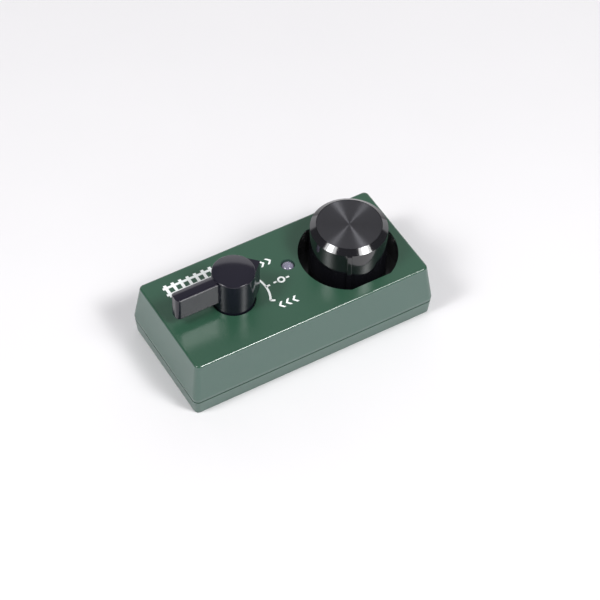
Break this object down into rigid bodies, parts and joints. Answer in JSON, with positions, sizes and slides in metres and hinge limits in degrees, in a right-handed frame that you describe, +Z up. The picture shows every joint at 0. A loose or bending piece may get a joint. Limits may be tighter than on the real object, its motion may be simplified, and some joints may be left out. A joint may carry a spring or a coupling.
{
  "type": "model railway controller",
  "caption": "Hand-held model railway controller: tapered moulded box with a direction lever, a status light and a speed knob in a round well.",
  "frame": {"origin": "centre of the case's flat underside, where it rests on a table", "axes": "+X along the case from the direction lever to the speed knob, +Y from the front to the back wall with the outlet, +Z up out of the top face"},
  "size_m": [0.1052, 0.0504, 0.042],
  "materials": {
    "case_green": "satin moulded ABS",
    "control_black": "gloss",
    "lever_dark": "satin gloss",
    "well_black": "satin",
    "spun_black": "spun and black anodised",
    "lens_clear": "clear epoxy",
    "screw_steel": "zinc plated",
    "bright_plate": "nickel plated",
    "tinned_wire": "tinned",
    "contact_brass": "satin",
    "board_copper": "tinned copper",
    "spring_steel": "bright",
    "battery_can": "printed steel can",
    "board_laminate": "solder mask",
    "phenolic": "matt phenolic board",
    "carbon_track": "matt carbon ink",
    "moulded_white": "satin nylon",
    "black_epoxy": "matt",
    "capacitor_sleeve": "shrink sleeve",
    "fuse_coating": "dipped epoxy",
    "resistor_coating": "dipped lacquer",
    "lead_red": "satin PVC",
    "lead_black": "satin PVC",
    "lead_white": "satin PVC",
    "lead_yellow": "satin PVC",
    "lead_green": "satin PVC"
  },
  "bodies": {
    "case": {"upper_case": "case_green", "lower_case": "case_green", "case_screws": "screw_steel", "battery": "battery_can", "battery_terminals": "bright_plate", "battery_snap": "black_epoxy", "snap_contacts": "bright_plate", "knob_well": "well_black", "well_screws": "screw_steel", "pot_bushing": "bright_plate", "pot_washer": "bright_plate", "pot_nut": "bright_plate", "pot_can": "bright_plate", "pot_wafer": "phenolic", "pot_track": "carbon_track", "pot_terminals": "tinned_wire", "contact_pads": "board_copper", "detent_spring": "spring_steel", "circuit_board": "board_laminate", "board_screws": "screw_steel", "status_led": "lens_clear", "led_frame": "tinned_wire", "power_transistor": "black_epoxy", "transistor_tab": "tinned_wire", "capacitor": "capacitor_sleeve", "resettable_fuse": "fuse_coating", "resistors": "resistor_coating", "component_legs": "tinned_wire", "outlet_socket": "black_epoxy", "outlet_contacts": "contact_brass", "battery_lead_red": "lead_red", "battery_lead_black": "lead_black", "speed_lead_white": "lead_white", "speed_lead_yellow": "lead_yellow", "speed_lead_green": "lead_green"},
    "speed_knob": {"knob_body": "control_black", "knob_cap": "spun_black", "knob_spring_ring": "spring_steel", "pot_shaft": "screw_steel", "pot_wiper": "moulded_white"},
    "direction_lever": {"direction_lever": "lever_dark", "switch_rotor": "moulded_white", "rotor_screw": "screw_steel", "wiper_springs": "contact_brass"},
    "battery_door": {"battery_door": "case_green"}
  },
  "joints": [
    {"name": "speed_turn", "type": "hinge", "parent": "case", "child": "speed_knob", "pos_m": [0.0278, -0.0009, 0.03], "axis": [0, 0, 1], "range_deg": [-300, 0]},
    {"name": "direction_turn", "type": "hinge", "parent": "case", "child": "direction_lever", "pos_m": [-0.022, 0, 0.03], "axis": [0, 0, 1], "range_deg": [-30, 30]},
    {"name": "door_turn", "type": "hinge", "parent": "case", "child": "battery_door", "pos_m": [0.00445, 0, 0.00015], "axis": [0, -1, 0], "range_deg": [0, 80]}
  ]
}
